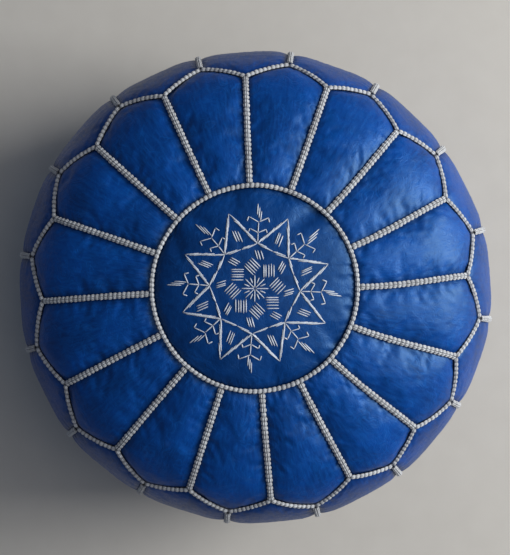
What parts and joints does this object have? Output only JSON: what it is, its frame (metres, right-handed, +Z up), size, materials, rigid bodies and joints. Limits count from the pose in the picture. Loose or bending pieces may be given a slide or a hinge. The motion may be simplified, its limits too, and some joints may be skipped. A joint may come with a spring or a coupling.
{
  "type": "leather floor pouf",
  "caption": "Round stuffed leather floor pouf sewn from petals and side panels, with braided seams, an embroidered medallion and a zip in its base.",
  "frame": {"origin": "middle of the base, on the floor that the pouf stands on", "axes": "+Z up along the axis that the panels repeat about, +X along the zip towards its closed end, +Y across the zip"},
  "size_m": [0.53, 0.53, 0.3309],
  "materials": {
    "blue_leather": "satin, hand dyed, mottled",
    "braid_thread": "matte twisted thread",
    "embroidery_thread": "silky thread",
    "stuffing": "matte cotton",
    "zip_tape": "woven",
    "zip_metal": "worn"
  },
  "bodies": {
    "cover": {"base_half_back": "blue_leather", "base_half_front": "blue_leather", "embroidery": "embroidery_thread", "filling": "stuffing", "foot_petal_01": "blue_leather", "foot_petal_02": "blue_leather", "foot_petal_03": "blue_leather", "foot_petal_04": "blue_leather", "foot_petal_05": "blue_leather", "foot_petal_06": "blue_leather", "foot_petal_07": "blue_leather", "foot_petal_08": "blue_leather", "foot_petal_09": "blue_leather", "foot_petal_10": "blue_leather", "foot_petal_11": "blue_leather", "foot_petal_12": "blue_leather", "foot_petal_13": "blue_leather", "foot_petal_14": "blue_leather", "foot_petal_15": "blue_leather", "foot_petal_16": "blue_leather", "lower_braids": "braid_thread", "medallion": "blue_leather", "side_braids": "braid_thread", "side_panel_01": "blue_leather", "side_panel_02": "blue_leather", "side_panel_03": "blue_leather", "side_panel_04": "blue_leather", "side_panel_05": "blue_leather", "side_panel_06": "blue_leather", "side_panel_07": "blue_leather", "side_panel_08": "blue_leather", "side_panel_09": "blue_leather", "side_panel_10": "blue_leather", "side_panel_11": "blue_leather", "side_panel_12": "blue_leather", "side_panel_13": "blue_leather", "side_panel_14": "blue_leather", "side_panel_15": "blue_leather", "side_panel_16": "blue_leather", "top_petal_01": "blue_leather", "top_petal_02": "blue_leather", "top_petal_03": "blue_leather", "top_petal_04": "blue_leather", "top_petal_05": "blue_leather", "top_petal_06": "blue_leather", "top_petal_07": "blue_leather", "top_petal_08": "blue_leather", "top_petal_09": "blue_leather", "top_petal_10": "blue_leather", "top_petal_11": "blue_leather", "top_petal_12": "blue_leather", "top_petal_13": "blue_leather", "top_petal_14": "blue_leather", "top_petal_15": "blue_leather", "top_petal_16": "blue_leather", "upper_braids": "braid_thread", "zip_tapes": "zip_tape", "zip_teeth": "zip_metal"},
    "slider": {"zip_slider": "zip_metal"},
    "pull": {"zip_pull": "zip_metal"}
  },
  "joints": [
    {"name": "zip_slide", "type": "slide", "parent": "cover", "child": "slider", "axis": [-1, 0, 0], "range_m": [0, 0.234]},
    {"name": "zip_pull_swing", "type": "hinge", "parent": "slider", "child": "pull", "pos_m": [0.118, 0, 0.00253], "axis": [0, -1, 0], "range_deg": [0, 150]}
  ]
}
